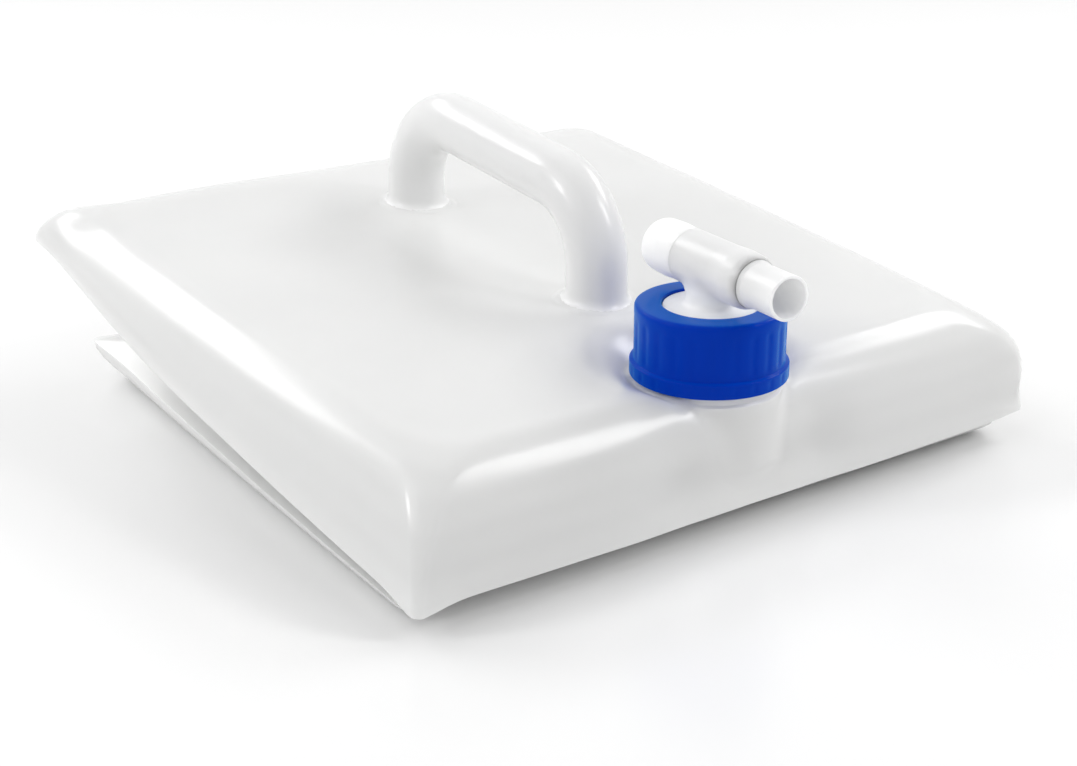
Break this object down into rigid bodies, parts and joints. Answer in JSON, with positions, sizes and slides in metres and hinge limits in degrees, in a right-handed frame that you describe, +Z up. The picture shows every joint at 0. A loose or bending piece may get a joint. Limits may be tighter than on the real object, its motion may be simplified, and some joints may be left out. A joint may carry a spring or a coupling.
{
  "type": "folding water container",
  "caption": "Square folding water container of milky film, folded flat, with a hollow arched handle and a tap held on its neck by a screw ring.",
  "frame": {"origin": "middle of the flat base, on the surface that the carrier stands on", "axes": "+Z up, -Y towards the tap side, +X to the right seen from the tap side"},
  "size_m": [0.2485, 0.2534, 0.1032],
  "materials": {
    "film": "milky, glossy",
    "ring": "glossy",
    "washer": "matte",
    "tap": "satin"
  },
  "bodies": {
    "container": {"container_body": "film"},
    "washer": {"seal_washer": "washer"},
    "ring": {"screw_ring": "ring"},
    "tap": {"tap_body": "tap"},
    "spout": {"tap_spout": "tap"}
  },
  "joints": [
    {"name": "ring_lift", "type": "slide", "parent": "container", "child": "washer", "axis": [0, 0, 1], "range_m": [0, 0.02]},
    {"name": "ring_turn", "type": "hinge", "parent": "washer", "child": "ring", "pos_m": [0, -0.0988, 0.0538], "axis": [0, 0, 1], "range_deg": [0, 1440]},
    {"name": "tap_swivel", "type": "hinge", "parent": "washer", "child": "tap", "pos_m": [0, -0.0988, 0.0615], "axis": [0, 0, 1], "continuous": true},
    {"name": "spout_turn", "type": "hinge", "parent": "tap", "child": "spout", "pos_m": [0, -0.0988, 0.0764], "axis": [0.0941, 0.9956, 0], "range_deg": [0, 90]}
  ],
  "couplings": [
    {"joint": "ring_turn", "follows": "ring_lift", "rad_per_m": 1256.6}
  ]
}
